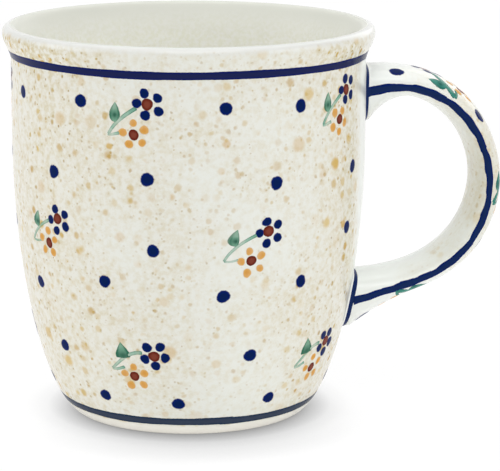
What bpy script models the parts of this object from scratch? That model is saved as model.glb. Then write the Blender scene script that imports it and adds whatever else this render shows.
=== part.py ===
"""Stoneware mug: a turned body, a strap handle and the two slip joints that hold the handle on.

Metres, +Z up. The mug stands on z = 0 with its handle towards +X. The origin is the middle of the
floor space that the whole mug covers, so the mug's own axis stands a little way back from it.
"""

import math

import bmesh
import bpy
from mathutils import Vector
from mathutils.geometry import interpolate_bezier

# Body, turned about the mug's axis
HEIGHT = 0.0950
RIM_RADIUS = 0.0450
WALL_RADIUS = 0.0429
WALL_THICKNESS = 0.0036
FLARE_HEIGHT = 0.0067
BELLY_HEIGHT = 0.0670
BELLY_FULLNESS = 1.6
FOOT_RADIUS = 0.0279
FOOT_RING_WIDTH = 0.0042
FOOT_RECESS = 0.0016
FOOT_RECESS_SLOPE = 0.0012
FLOOR_THICKNESS = 0.0056
FLOOR_FILLET = 0.0090

# Strap handle. Its reach is from the mug's axis, its upper root hangs from the rim, its crook from
# the upper root, and its lower root is placed from the table
HANDLE_REACH = 0.0774
HANDLE_WIDTH = 0.0180
HANDLE_THICKNESS = 0.0071
CROOK_DROP = 0.0250
CROOK_PULL_UP = 0.0119
CROOK_PULL_DOWN = 0.0051
UPPER_ROOT_DROP = 0.0145
UPPER_ROOT_RISE = math.radians(6.6)
UPPER_ROOT_PULL = 0.0215
UPPER_FLARE = 0.0066
UPPER_FLARE_LENGTH = 0.0140
LOWER_ROOT_HEIGHT = 0.0292
LOWER_ROOT_PULL = 0.0316
LOWER_FLARE = 0.0071
LOWER_FLARE_LENGTH = 0.0163

# Slip, the liquid clay between the wall and each end of the handle
SLIP_FILM = 0.0007
SLIP_FILLET_HEIGHT = 0.0020
SLIP_FILLET_SPREAD = 0.0013
SLIP_FEATHER = 0.0004
GAP = 0.0003

# Resolution of the solids, and how far a cutter runs past what it cuts
TURN_STEPS = 64
LIP_STEPS = 8
FLARE_STEPS = 6
BELLY_STEPS = 18
WALL_STEPS = 9
FILLET_STEPS = 7
STRAP_STEPS = 20
STRAP_SIDES = 24
CUTTER_OVERRUN = 0.0100
AXIS_MERGE = 0.00001
CREASE_ANGLE = math.radians(50)

# Finishes
GLAZE_COLOUR = (0.80, 0.78, 0.70, 1.0)
GLAZE_ROUGHNESS = 0.15
SLIP_COLOUR = (0.76, 0.73, 0.64, 1.0)
SLIP_ROUGHNESS = 0.35

# Heights and places that follow from the sizes above
LIP_RADIUS = WALL_THICKNESS / 2
LIP_HEIGHT = HEIGHT - LIP_RADIUS
FLARE_START = LIP_HEIGHT - FLARE_HEIGHT
FLOOR_HEIGHT = FOOT_RECESS + FLOOR_THICKNESS
UPPER_ROOT_HEIGHT = HEIGHT - UPPER_ROOT_DROP
CROOK_HEIGHT = UPPER_ROOT_HEIGHT - CROOK_DROP
AXIS_OFFSET = (RIM_RADIUS - HANDLE_REACH) / 2


def clear_scene():
    """Removes every object, so that the script starts from an empty scene."""
    for obj in list(bpy.data.objects):
        bpy.data.objects.remove(obj, do_unlink=True)


def new_collection(name):
    """A collection linked to the scene."""
    group = bpy.data.collections.new(name)
    bpy.context.scene.collection.children.link(group)
    return group


def new_material(name, colour, roughness):
    """A Principled material, as its piece looks by itself."""
    material = bpy.data.materials.new(name)
    material.use_nodes = True
    shader = material.node_tree.nodes["Principled BSDF"]
    shader.inputs["Base Color"].default_value = colour
    shader.inputs["Roughness"].default_value = roughness
    shader.inputs["Metallic"].default_value = 0.0
    return material


def place(obj, group, axis):
    """Links an object to its collection, with the mug's axis as its parent."""
    group.objects.link(obj)
    obj.parent = axis
    return obj


def hide_cutter(obj):
    """Marks an object as a cutter, which shapes other pieces and isn't one itself."""
    obj.hide_render = True
    obj.display_type = "WIRE"
    return obj


def boolean(target, tool, operation):
    """Cuts a piece with another, or keeps only what they share."""
    modifier = target.modifiers.new(tool.name, "BOOLEAN")
    modifier.operation = operation
    modifier.solver = "EXACT"
    modifier.object = tool


def turned(name, profile):
    """Turns a profile of (radius, height) points about the axis. Its outer side runs downwards."""
    mesh = bpy.data.meshes.new(name)
    points = [(radius, 0.0, height) for radius, height in profile]
    edges = [(i, i + 1) for i in range(len(points) - 1)]
    mesh.from_pydata(points, edges, [])
    obj = bpy.data.objects.new(name, mesh)
    screw = obj.modifiers.new("turn", "SCREW")
    screw.steps = TURN_STEPS
    screw.render_steps = TURN_STEPS
    screw.use_merge_vertices = True
    screw.merge_threshold = AXIS_MERGE
    screw.use_smooth_shade = True
    return obj


def wall_radius(height):
    """Outside radius of the body: a full belly, a straight wall and a lip that turns out."""
    if height < BELLY_HEIGHT:
        drop = 1 - height / BELLY_HEIGHT
        share = (1 - drop**2) ** (1 / BELLY_FULLNESS)
        return FOOT_RADIUS + (WALL_RADIUS - FOOT_RADIUS) * share
    rise = min(max((height - FLARE_START) / FLARE_HEIGHT, 0.0), 1.0)
    return WALL_RADIUS + (RIM_RADIUS - WALL_RADIUS) * (1 - math.cos(math.pi * rise)) / 2


def belly_heights():
    """Heights from the top of the belly down to the table, closest together at the foot."""
    return [BELLY_HEIGHT * (i / BELLY_STEPS) ** 2 for i in range(BELLY_STEPS, -1, -1)]


def flare_heights():
    """Heights from the widest part of the lip down to where the wall is straight."""
    return [LIP_HEIGHT - FLARE_HEIGHT * i / FLARE_STEPS for i in range(FLARE_STEPS + 1)]


def floor_fillet():
    """The hollow curve inside, from the flat floor up into the wall."""
    top = FLOOR_HEIGHT + FLOOR_FILLET
    step = FLOOR_FILLET / FILLET_STEPS
    slope = (wall_radius(top + step) - wall_radius(top)) / step
    wall = Vector((wall_radius(top) - WALL_THICKNESS, top, 0))
    corner = Vector((wall.x - slope * FLOOR_FILLET, FLOOR_HEIGHT, 0))
    floor = corner - Vector(((wall - corner).length, 0, 0))
    near_floor = floor.lerp(corner, 2 / 3)
    near_wall = wall.lerp(corner, 2 / 3)
    curve = interpolate_bezier(floor, near_floor, near_wall, wall, FILLET_STEPS + 1)
    return [(point.x, point.y) for point in curve]


def body_profile():
    """The body's section: up the inside, over the lip, down the outside and under the foot."""
    profile = [(0.0, FLOOR_HEIGHT)]
    profile += floor_fillet()
    low = FLOOR_HEIGHT + FLOOR_FILLET
    for i in range(1, WALL_STEPS):
        height = low + (FLARE_START - low) * i / WALL_STEPS
        profile.append((wall_radius(height) - WALL_THICKNESS, height))
    for height in reversed(flare_heights()):
        profile.append((wall_radius(height) - WALL_THICKNESS, height))
    for i in range(1, LIP_STEPS):
        angle = math.pi * (1 - i / LIP_STEPS)
        radius = RIM_RADIUS - LIP_RADIUS + LIP_RADIUS * math.cos(angle)
        profile.append((radius, LIP_HEIGHT + LIP_RADIUS * math.sin(angle)))
    for height in flare_heights() + belly_heights():
        profile.append((wall_radius(height), height))
    ring_inside = FOOT_RADIUS - FOOT_RING_WIDTH
    profile.append((ring_inside, 0.0))
    profile.append((ring_inside - FOOT_RECESS_SLOPE, FOOT_RECESS))
    profile.append((0.0, FOOT_RECESS))
    return profile


def wall_cutter(name, stand_off):
    """A solid of the body's outside, grown outwards by stand_off."""
    profile = [(0.0, HEIGHT)]
    for height in flare_heights() + belly_heights():
        profile.append((wall_radius(height) + stand_off, height))
    profile.append((0.0, 0.0))
    return turned(name, profile)


def upper_route():
    """Middle of the strap from the upper root out to the crook, its farthest point."""
    root = Vector((wall_radius(UPPER_ROOT_HEIGHT), 0, UPPER_ROOT_HEIGHT))
    out = Vector((math.cos(UPPER_ROOT_RISE), 0, math.sin(UPPER_ROOT_RISE)))
    crook = Vector((HANDLE_REACH - HANDLE_THICKNESS / 2, 0, CROOK_HEIGHT))
    return root, root + out * UPPER_ROOT_PULL, crook + Vector((0, 0, CROOK_PULL_UP)), crook


def lower_route():
    """Middle of the strap from the lower root out to the crook."""
    root = Vector((wall_radius(LOWER_ROOT_HEIGHT), 0, LOWER_ROOT_HEIGHT))
    out = Vector((1, 0, 0))
    crook = Vector((HANDLE_REACH - HANDLE_THICKNESS / 2, 0, CROOK_HEIGHT))
    return root, root + out * LOWER_ROOT_PULL, crook - Vector((0, 0, CROOK_PULL_DOWN)), crook


def bezier(route, t):
    """Point and direction on a route, at the share t of it."""
    a, b, c, d = route
    s = 1 - t
    point = a * s**3 + b * (3 * s * s * t) + c * (3 * s * t * t) + d * t**3
    along = (b - a) * (s * s) + (c - b) * (2 * s * t) + (d - c) * (t * t)
    return point, along.normalized()


def half_stations(route):
    """(point, direction, length from the root) along a route, closest together at the root."""
    start, direction = bezier(route, 0.0)
    stations = [(start - direction * CUTTER_OVERRUN, direction, 0.0)]
    length = 0.0
    before = start
    for i in range(STRAP_STEPS + 1):
        point, direction = bezier(route, (i / STRAP_STEPS) ** 2)
        length += (point - before).length
        before = point
        stations.append((point, direction, length))
    return stations


def flare(size, reach, length):
    """How far a root swells at a length along the strap."""
    return size * max(0.0, 1 - length / reach) ** 2


def oval(point, outward, outer, inner, grow):
    """A ring round the strap, with its own depth outwards and inwards from the middle line."""
    ring = []
    across = Vector((0, 1, 0))
    half_width = HANDLE_WIDTH / 2
    for i in range(STRAP_SIDES):
        angle = 2 * math.pi * i / STRAP_SIDES
        depth = outer if math.cos(angle) > 0 else inner
        spot = point + outward * (depth * math.cos(angle)) + across * (half_width * math.sin(angle))
        stand_off = math.hypot(spot.x, spot.y) - wall_radius(spot.z)
        normal = outward * (math.cos(angle) / depth) + across * (math.sin(angle) / half_width)
        ring.append(spot + normal.normalized() * grow(stand_off))
    return ring


def upper_rings(grow):
    """Rings of the strap from the upper root to the crook. The root swells on its inner side."""
    rings = []
    for point, direction, length in half_stations(upper_route()):
        outward = Vector((-direction.z, 0, direction.x))
        inner = HANDLE_THICKNESS / 2 + flare(UPPER_FLARE, UPPER_FLARE_LENGTH, length)
        rings.append(oval(point, outward, HANDLE_THICKNESS / 2, inner, grow))
    return rings


def lower_rings(grow):
    """Rings of the strap from the lower root to the crook. The root swells on its outer side."""
    rings = []
    for point, direction, length in half_stations(lower_route()):
        outward = Vector((direction.z, 0, -direction.x))
        outer = HANDLE_THICKNESS / 2 + flare(LOWER_FLARE, LOWER_FLARE_LENGTH, length)
        rings.append(oval(point, outward, outer, HANDLE_THICKNESS / 2, grow))
    return rings


def strap_rings(grow):
    """Rings of the whole strap, from the upper root round the crook to the lower root."""
    return upper_rings(grow) + lower_rings(grow)[-2::-1]


def lofted(name, rings):
    """A closed solid through rings of points, capped at both ends."""
    shape = bmesh.new()
    loops = [[shape.verts.new(point) for point in ring] for ring in rings]
    for near, far in zip(loops, loops[1:]):
        for i in range(len(near)):
            j = (i + 1) % len(near)
            shape.faces.new((near[i], near[j], far[j], far[i]))
    shape.faces.new(loops[0])
    shape.faces.new(loops[-1])
    bmesh.ops.recalc_face_normals(shape, faces=shape.faces)
    mesh = bpy.data.meshes.new(name)
    shape.to_mesh(mesh)
    shape.free()
    mesh.shade_smooth()
    mesh.set_sharp_from_angle(angle=CREASE_ANGLE)
    return bpy.data.objects.new(name, mesh)


def snug(stand_off):
    """The strap's own surface."""
    return 0.0


def socket_clearance(stand_off):
    """Clearance all round the strap where it sits in the slip."""
    return GAP


def slip_fillet(stand_off):
    """Surface of the slip round the strap: spread on the wall, feathered out along the strap."""
    share = min(max(1 - stand_off / SLIP_FILLET_HEIGHT, 0.0), 1.0)
    return GAP + SLIP_FEATHER + SLIP_FILLET_SPREAD * share**2


def build():
    """Builds the mug's four pieces and the cutters that shape them."""
    clear_scene()
    parts = new_collection("stoneware_mug")
    cutters = new_collection("cutters")
    axis = bpy.data.objects.new("mug_axis", None)
    axis.location = (AXIS_OFFSET, 0, 0)
    parts.objects.link(axis)

    body = place(turned("mug_body", body_profile()), parts, axis)
    body.data.materials.append(new_material("body glaze", GLAZE_COLOUR, GLAZE_ROUGHNESS))

    slip_inside = wall_cutter("slip_inside", GAP)
    slip_seat = wall_cutter("slip_seat", GAP + SLIP_FILM)
    slip_outside = wall_cutter("slip_outside", GAP + SLIP_FILLET_HEIGHT)
    handle_end = wall_cutter("handle_end", GAP + SLIP_FILM + GAP)
    socket = lofted("handle_socket", strap_rings(socket_clearance))
    for cutter in (slip_inside, slip_seat, slip_outside, handle_end, socket):
        hide_cutter(place(cutter, cutters, axis))
    boolean(socket, slip_seat, "DIFFERENCE")

    handle = place(lofted("handle", strap_rings(snug)), parts, axis)
    handle.data.materials.append(new_material("handle glaze", GLAZE_COLOUR, GLAZE_ROUGHNESS))
    boolean(handle, handle_end, "DIFFERENCE")

    for end, rings in (("upper", upper_rings), ("lower", lower_rings)):
        joint = place(lofted(f"{end}_slip_joint", rings(slip_fillet)), parts, axis)
        joint.data.materials.append(new_material(f"{end} slip", SLIP_COLOUR, SLIP_ROUGHNESS))
        boolean(joint, slip_outside, "INTERSECT")
        boolean(joint, slip_inside, "DIFFERENCE")
        boolean(joint, socket, "DIFFERENCE")


build()
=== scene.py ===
"""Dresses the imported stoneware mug: turned body, strap handle, slip collars and painted sprigs.

Everything is in metres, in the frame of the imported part: the mug stands on z = 0 with its handle
towards +X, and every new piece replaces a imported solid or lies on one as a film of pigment.
"""

import logging
import math
import random
from bisect import bisect_right
from collections.abc import Callable
from dataclasses import dataclass, field
from enum import Enum, IntEnum

import bmesh
import bpy
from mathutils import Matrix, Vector
from mathutils.geometry import interpolate_bezier


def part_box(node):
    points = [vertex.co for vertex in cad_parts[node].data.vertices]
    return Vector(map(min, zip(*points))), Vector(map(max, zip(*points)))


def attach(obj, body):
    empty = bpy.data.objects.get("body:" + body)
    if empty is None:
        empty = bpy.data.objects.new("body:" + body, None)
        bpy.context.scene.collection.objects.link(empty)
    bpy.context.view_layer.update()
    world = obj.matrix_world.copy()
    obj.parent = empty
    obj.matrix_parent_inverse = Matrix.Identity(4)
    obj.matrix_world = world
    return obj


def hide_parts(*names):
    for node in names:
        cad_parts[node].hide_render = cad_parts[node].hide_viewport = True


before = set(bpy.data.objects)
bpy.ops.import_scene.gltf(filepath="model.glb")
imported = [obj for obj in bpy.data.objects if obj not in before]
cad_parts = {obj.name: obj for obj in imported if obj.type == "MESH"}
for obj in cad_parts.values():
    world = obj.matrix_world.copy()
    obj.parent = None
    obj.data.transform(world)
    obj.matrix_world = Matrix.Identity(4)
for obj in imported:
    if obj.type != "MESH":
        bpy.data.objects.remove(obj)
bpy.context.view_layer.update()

MM = 0.001
BODY = "root"
MERGE = 0.001 * MM
# Share of the way to a corner that makes a cubic curve round it off as a parabola.
PULL = 2 / 3
# Room for the paint at the crook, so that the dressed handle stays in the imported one's box.
PAINT_ROOM = 0.06 * MM
BODY_LOW, BODY_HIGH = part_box("mug_body")
AXIS = Vector(((BODY_LOW.x + BODY_HIGH.x) / 2, 0.0, 0.0))
UP = Vector((0.0, 0.0, 1.0))
ACROSS = Vector((0.0, 1.0, 0.0))
RIM_LAYER = "rim"
POOL_LAYER = "pool"
# A Mix node's two colours are its inputs 6 and 7, and the mixed colour is its output 2.
MIX_A, MIX_B = 6, 7
BLEND = {"out": 2, "data_type": "RGBA"}
SMOOTH = {"interpolation_type": "SMOOTHSTEP"}
LOG = logging.getLogger("stoneware_mug")

Spot = tuple[Vector, Vector]
Chart = Callable[[float, float], Spot]
Touch = tuple[Spot, float, float]
Brush = Callable[[float, float], Touch]
Pair = tuple[float, float]
Triple = tuple[float, float, float]
Counts = tuple[int, int]
Edges = list[bmesh.types.BMEdge]
Tree = bpy.types.NodeTree
Socket = bpy.types.NodeSocket


def mm(*sizes: float) -> tuple[float, ...]:
    """Turns sizes written in millimetres into metres."""
    return tuple(size * MM for size in sizes)


class Slot(Enum):
    """The record's finishes."""

    BODY = "body_glaze"
    HANDLE = "handle_glaze"
    SLIP = "slip"


def linear(code: str) -> tuple[float, float, float, float]:
    """Turns a colour as written for a screen into the linear colour that shaders take.

    Args:
        code: sRGB colour, such as "e8e4d6".

    Returns:
        Linear red, green and blue, and an alpha of 1.
    """
    shares = [int(code[i : i + 2], 16) / 255 for i in (0, 2, 4)]
    straight = [s / 12.92 if s <= 0.04045 else ((s + 0.055) / 1.055) ** 2.4 for s in shares]
    return straight[0], straight[1], straight[2], 1.0


def add_node(
    tree: Tree, kind: str, inputs: dict | None = None, out: str | int = 0, **settings: object
) -> Socket | None:
    """Adds a node with its settings and links.

    Args:
        tree: node tree that takes the node.
        kind: Blender's name for the node.
        inputs: a value, or another node's output, for each socket by name or number.
        out: which of the node's outputs to hand back, by name or number.
        settings: the node's own properties.

    Returns:
        That output, if the node has any.
    """
    node = tree.nodes.new(kind)
    for name, value in settings.items():
        setattr(node, name, value)
    for socket, value in (inputs or {}).items():
        if isinstance(value, Socket):
            tree.links.new(value, node.inputs[socket])
        else:
            node.inputs[socket].default_value = value
    return node.outputs[out] if node.outputs else None


def empty_material(name: str) -> bpy.types.Material:
    """Makes a material whose node tree holds nothing yet.

    Args:
        name: the material's name.

    Returns:
        The material.
    """
    material = bpy.data.materials.new(name)
    material.use_nodes = True
    material.node_tree.nodes.clear()
    return material


@dataclass(frozen=True)
class Speck:
    """One size of iron speck that has melted into the glaze, as rare as its last number is high."""

    spacing: float
    radius: float
    softness: float
    pale: str
    deep: str
    strength: float
    rarity: float


@dataclass(frozen=True)
class SpeckledGlaze:
    """Clear glaze over ivory slip, fired so that iron bleeds through it in soft tan specks.

    The specks crowd in clouds. They crowd more on the two sides in line with the handle, most of all
    under the lip, and on the strap towards its crook, where the denser specks are also painted shade.
    Beside the handle fewer specks leave a painted reflection of the handle on the wall. The lip was
    wiped plain, and just above the table the glaze is plain and painted whiter as light from the floor.
    """

    name: str
    ivory: str = "edf0ea"
    warm: str = "e9e7dc"
    mottle: str = "d6cba8"
    lip: str = "e2e3df"
    lip_range: Pair = mm(92.8, 94.8)
    # Painted light: just above the table the glaze is whiter and plain, as light bounced from the floor.
    foot: str = "f8f5ec"
    floor_lit_range: Pair = mm(3.2, 2.2)
    speckle: float = 1.0
    cloud_size: float = 20.0 * MM
    cloud_range: Pair = (0.35, 0.65)
    crowd: Pair = (0.3, 0.75)
    # Painted shade as well as specks: more specks on the two sides in line with the handle and under the
    # lip.
    side_specks_and_shade_span: Pair = mm(14.0, 38.0)
    side_specks_and_shade: float = 0.6
    under_lip_specks_and_shade_span: Pair = mm(85.0, 90.5)
    under_lip_specks_and_shade: float = 1.6
    # Painted reflection: fewer specks on the wall beside the handle leave it whiter, as the handle's
    # reflection.
    handle_reflection_span: Pair = mm(36.4, 40.6)
    handle_reflection: float = 1.3
    mottle_size: float = 1.4 * MM
    mottle_detail: float = 4.0
    mottle_roughness: float = 0.6
    mottle_range: Pair = (0.42, 0.8)
    mottling: float = 1.05
    warp_size: float = 1.3 * MM
    warp: float = 0.7 * MM
    ripple_size: float = 7.0 * MM
    ripple: float = 0.02 * MM
    roughness: Pair = (0.16, 0.26)
    ior: float = 1.5
    gloss: float = 0.5
    speck_swell: Pair = (0.6, 1.3)
    specks: tuple[Speck, ...] = (
        Speck(1.3 * MM, 0.40 * MM, 0.30 * MM, "c4ad64", "a48438", 0.95, 0.2),
        Speck(2.0 * MM, 0.68 * MM, 0.48 * MM, "ccb164", "b4903c", 0.95, 0.25),
        Speck(3.2 * MM, 1.15 * MM, 0.70 * MM, "d4b762", "c0983a", 0.95, 0.25),
        Speck(6.0 * MM, 1.75 * MM, 0.90 * MM, "d8ba64", "cca042", 0.95, 0.35),
    )

    def crowding(self, tree: Tree, place: Socket, aside: Socket, height: Socket) -> Socket:
        """Works out where specks crowd: in clouds, more on the sides and under the lip as painted shade, and
        fewer beside the handle, where the wall shows a painted reflection of the handle.

        Args:
            tree: node tree of the material that shows the glaze.
            place: coordinates of the mug.
            aside: distance from the mug's axis towards the handle.
            height: height above the table.

        Returns:
            The socket that gives how far the specks crowd, from 0.
        """
        clouds = add_node(tree, "ShaderNodeTexNoise", {"Vector": place, "Scale": 1 / self.cloud_size})
        low, high = self.cloud_range
        least, most = self.crowd
        crowd = add_node(
            tree,
            "ShaderNodeMapRange",
            {"Value": clouds, "From Min": low, "From Max": high, "To Min": least, "To Max": most},
        )
        # Painted shade as well as specks: more of them on the two sides in line with the handle.
        either_side = add_node(tree, "ShaderNodeMath", {0: aside}, operation="ABSOLUTE")
        low, high = self.side_specks_and_shade_span
        thin = add_node(
            tree,
            "ShaderNodeMapRange",
            {"Value": either_side, "From Min": low, "From Max": high, "To Max": self.side_specks_and_shade},
            **SMOOTH,
        )
        # Painted shade as well as specks: more still under the lip.
        low, high = self.under_lip_specks_and_shade_span
        most_under_lip_specks_and_shade = 1 + self.under_lip_specks_and_shade
        more = add_node(
            tree,
            "ShaderNodeMapRange",
            {"Value": height, "From Min": low, "From Max": high, "To Min": 1.0, "To Max": most_under_lip_specks_and_shade},
            **SMOOTH,
        )
        crowd = add_node(tree, "ShaderNodeMath", {0: thin, 1: more, 2: crowd}, operation="MULTIPLY_ADD")
        # Painted reflection of the handle: fewer specks on the wall beside it.
        low, high = self.handle_reflection_span
        speck_or_reflection_weight = add_node(
            tree,
            "ShaderNodeMapRange",
            {"Value": aside, "From Min": low, "From Max": high, "To Max": self.handle_reflection},
            **SMOOTH,
        )
        crowd = add_node(tree, "ShaderNodeMath", {0: crowd, 1: speck_or_reflection_weight}, operation="SUBTRACT")
        return add_node(tree, "ShaderNodeMath", {0: crowd, 1: 0.0}, operation="MAXIMUM")

    def mottled(self, tree: Tree, place: Socket, crowd: Socket) -> Socket:
        """Builds the ground of ivory and warmer clouds, finely stained where specks crowd.

        Args:
            tree: node tree of the material that shows the glaze.
            place: coordinates of the mug.
            crowd: how far the specks crowd, from 0.

        Returns:
            The socket that gives the colour.
        """
        shade = add_node(
            tree,
            "ShaderNodeMix",
            {"Factor": crowd, MIX_A: linear(self.ivory), MIX_B: linear(self.warm)},
            **BLEND,
        )
        stains = add_node(
            tree,
            "ShaderNodeTexNoise",
            {
                "Vector": place,
                "Scale": 1 / self.mottle_size,
                "Detail": self.mottle_detail,
                "Roughness": self.mottle_roughness,
            },
        )
        low, high = self.mottle_range
        stained = add_node(
            tree,
            "ShaderNodeMapRange",
            {"Value": stains, "From Min": low, "From Max": high, "To Max": self.mottling * self.speckle},
        )
        stained = add_node(tree, "ShaderNodeMath", {0: stained, 1: crowd}, operation="MULTIPLY")
        return add_node(
            tree, "ShaderNodeMix", {"Factor": stained, MIX_A: shade, MIX_B: linear(self.mottle)}, **BLEND
        )

    def colour(self, tree: Tree) -> Socket:
        """Builds the glaze's colour at each point of the mug.

        Args:
            tree: node tree of the material that shows the glaze.

        Returns:
            The socket that gives the colour.
        """
        place = add_node(tree, "ShaderNodeTexCoord", out="Object")
        off_axis = add_node(tree, "ShaderNodeVectorMath", {0: place, 1: AXIS}, operation="SUBTRACT")
        off_axis = add_node(tree, "ShaderNodeSeparateXYZ", {"Vector": off_axis}).node.outputs
        height = off_axis["Z"]
        crowd = self.crowding(tree, place, off_axis["X"], height)
        shade = self.mottled(tree, place, crowd)
        wander = add_node(
            tree, "ShaderNodeTexNoise", {"Vector": place, "Scale": 1 / self.warp_size}, out="Color"
        )
        bent = add_node(
            tree,
            "ShaderNodeVectorMath",
            {0: wander, 1: (self.warp,) * 3, 2: place},
            operation="MULTIPLY_ADD",
        )
        for speck in self.specks:
            shade = self.specked(tree, bent, crowd, shade, speck)
        # The lip's glaze is plain; the band just above the table is painted whiter, as light bounced from
        # the floor.
        for plain, (start, end) in ((self.lip, self.lip_range), (self.foot, self.floor_lit_range)):
            wiped = add_node(
                tree, "ShaderNodeMapRange", {"Value": height, "From Min": start, "From Max": end}, **SMOOTH
            )
            shade = add_node(
                tree, "ShaderNodeMix", {"Factor": wiped, MIX_A: shade, MIX_B: linear(plain)}, **BLEND
            )
        return shade

    def specked(self, tree: Tree, place: Socket, crowd: Socket, shade: Socket, speck: Speck) -> Socket:
        """Lays one size of speck over a colour.

        Args:
            tree: node tree of the material.
            place: coordinates that the specks are scattered in.
            crowd: how far the specks crowd, from 0.
            shade: colour under the specks.
            speck: the specks' size, colours and strength.

        Returns:
            The socket that gives the specked colour.
        """
        away = add_node(tree, "ShaderNodeTexVoronoi", {"Vector": place, "Scale": 1 / speck.spacing})
        draw = add_node(tree, "ShaderNodeSeparateColor", {"Color": away.node.outputs["Color"]}).node.outputs
        small, large = self.speck_swell
        swell = add_node(
            tree, "ShaderNodeMapRange", {"Value": draw["Blue"], "To Min": small, "To Max": large}
        )
        away = add_node(tree, "ShaderNodeMath", {0: away, 1: swell}, operation="DIVIDE")
        far = speck.radius / speck.spacing
        near = (speck.radius - speck.softness) / speck.spacing
        inside = add_node(
            tree, "ShaderNodeMapRange", {"Value": away, "From Min": far, "From Max": near}, **SMOOTH
        )
        most = self.speckle * speck.strength
        some = add_node(
            tree,
            "ShaderNodeMapRange",
            {"Value": draw["Green"], "From Min": speck.rarity, "From Max": 1.0, "To Max": most},
        )
        speck_or_reflection_weight = add_node(tree, "ShaderNodeMath", {0: some, 1: crowd}, operation="MULTIPLY")
        cover = add_node(tree, "ShaderNodeMath", {0: inside, 1: speck_or_reflection_weight}, operation="MULTIPLY")
        hue = add_node(
            tree,
            "ShaderNodeMix",
            {"Factor": draw["Red"], MIX_A: linear(speck.pale), MIX_B: linear(speck.deep)},
            **BLEND,
        )
        return add_node(tree, "ShaderNodeMix", {"Factor": cover, MIX_A: shade, MIX_B: hue}, **BLEND)

    def shaded(self, tree: Tree, colour: Socket, gloss: float) -> None:
        """Adds the glossy skin of fired glaze, gently rippled, over a colour.

        Args:
            tree: node tree of the material.
            colour: socket that gives the colour.
            gloss: how strongly the skin mirrors what is in front of it.
        """
        place = add_node(tree, "ShaderNodeTexCoord", out="Object")
        ripples = add_node(tree, "ShaderNodeTexNoise", {"Vector": place, "Scale": 1 / self.ripple_size})
        bump = add_node(tree, "ShaderNodeBump", {"Distance": self.ripple, "Height": ripples})
        low, high = self.roughness
        sheen = add_node(tree, "ShaderNodeMapRange", {"Value": ripples, "To Min": low, "To Max": high})
        skin = add_node(
            tree,
            "ShaderNodeBsdfPrincipled",
            {
                "Base Color": colour,
                "Roughness": sheen,
                "IOR": self.ior,
                "Specular IOR Level": gloss,
                "Normal": bump,
            },
        )
        add_node(tree, "ShaderNodeOutputMaterial", {"Surface": skin})

    def material(self) -> bpy.types.Material:
        """Makes the glaze by itself, as on the wall and the strap.

        Returns:
            The material.
        """
        material = empty_material(self.name)
        self.shaded(material.node_tree, self.colour(material.node_tree), self.gloss)
        return material


@dataclass(frozen=True)
class LinerGlaze:
    """Plain cream glaze poured round the inside: even, half matt, grained, with painted shade near the lip.
    """

    name: str = "cream liner glaze"
    cream: str = "fffffa"
    shadow: str = "f6f6ea"
    # Painted shade: the liner darkens towards the lip.
    lip: str = "e2e3da"
    lip_range: Pair = mm(86.5, 93.5)
    grain_size: float = 0.9 * MM
    grain_detail: float = 4.0
    grain_range: Pair = (0.36, 0.64)
    roughness: Pair = (0.3, 0.45)
    ior: float = 1.36
    gloss: float = 0.2

    def material(self) -> bpy.types.Material:
        """Makes the liner's material.

        Returns:
            The material.
        """
        material = empty_material(self.name)
        tree = material.node_tree
        place = add_node(tree, "ShaderNodeTexCoord", out="Object")
        grain = add_node(
            tree,
            "ShaderNodeTexNoise",
            {"Vector": place, "Scale": 1 / self.grain_size, "Detail": self.grain_detail},
        )
        low, high = self.grain_range
        dim = add_node(tree, "ShaderNodeMapRange", {"Value": grain, "From Min": low, "From Max": high})
        colour = add_node(
            tree,
            "ShaderNodeMix",
            {"Factor": dim, MIX_A: linear(self.cream), MIX_B: linear(self.shadow)},
            **BLEND,
        )
        height = add_node(tree, "ShaderNodeSeparateXYZ", {"Vector": place}, out="Z")
        # Painted shade: darker towards the lip.
        start, end = self.lip_range
        thin = add_node(tree, "ShaderNodeMapRange", {"Value": height, "From Min": start, "From Max": end})
        colour = add_node(
            tree, "ShaderNodeMix", {"Factor": thin, MIX_A: colour, MIX_B: linear(self.lip)}, **BLEND
        )
        low, high = self.roughness
        sheen = add_node(tree, "ShaderNodeMapRange", {"Value": grain, "To Min": low, "To Max": high})
        skin = add_node(
            tree,
            "ShaderNodeBsdfPrincipled",
            {"Base Color": colour, "Roughness": sheen, "IOR": self.ior, "Specular IOR Level": self.gloss},
        )
        add_node(tree, "ShaderNodeOutputMaterial", {"Surface": skin})
        return material


@dataclass(frozen=True)
class BareStoneware:
    """Fired clay wiped clean of glaze so that it doesn't stick to the kiln shelf: matt and gritty."""

    name: str = "bare stoneware"
    buff: str = "cfc5b0"
    grit: str = "b3a68c"
    grit_size: float = 0.5 * MM
    relief: float = 0.03 * MM
    roughness: Pair = (0.75, 0.95)

    def material(self) -> bpy.types.Material:
        """Makes the bare foot's material.

        Returns:
            The material.
        """
        material = empty_material(self.name)
        tree = material.node_tree
        place = add_node(tree, "ShaderNodeTexCoord", out="Object")
        grain = add_node(tree, "ShaderNodeTexNoise", {"Vector": place, "Scale": 1 / self.grit_size})
        colour = add_node(
            tree,
            "ShaderNodeMix",
            {"Factor": grain, MIX_A: linear(self.buff), MIX_B: linear(self.grit)},
            **BLEND,
        )
        low, high = self.roughness
        matt = add_node(tree, "ShaderNodeMapRange", {"Value": grain, "To Min": low, "To Max": high})
        bump = add_node(tree, "ShaderNodeBump", {"Distance": self.relief, "Height": grain})
        skin = add_node(
            tree,
            "ShaderNodeBsdfPrincipled",
            {"Base Color": colour, "Roughness": matt, "Normal": bump},
        )
        add_node(tree, "ShaderNodeOutputMaterial", {"Surface": skin})
        return material


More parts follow.
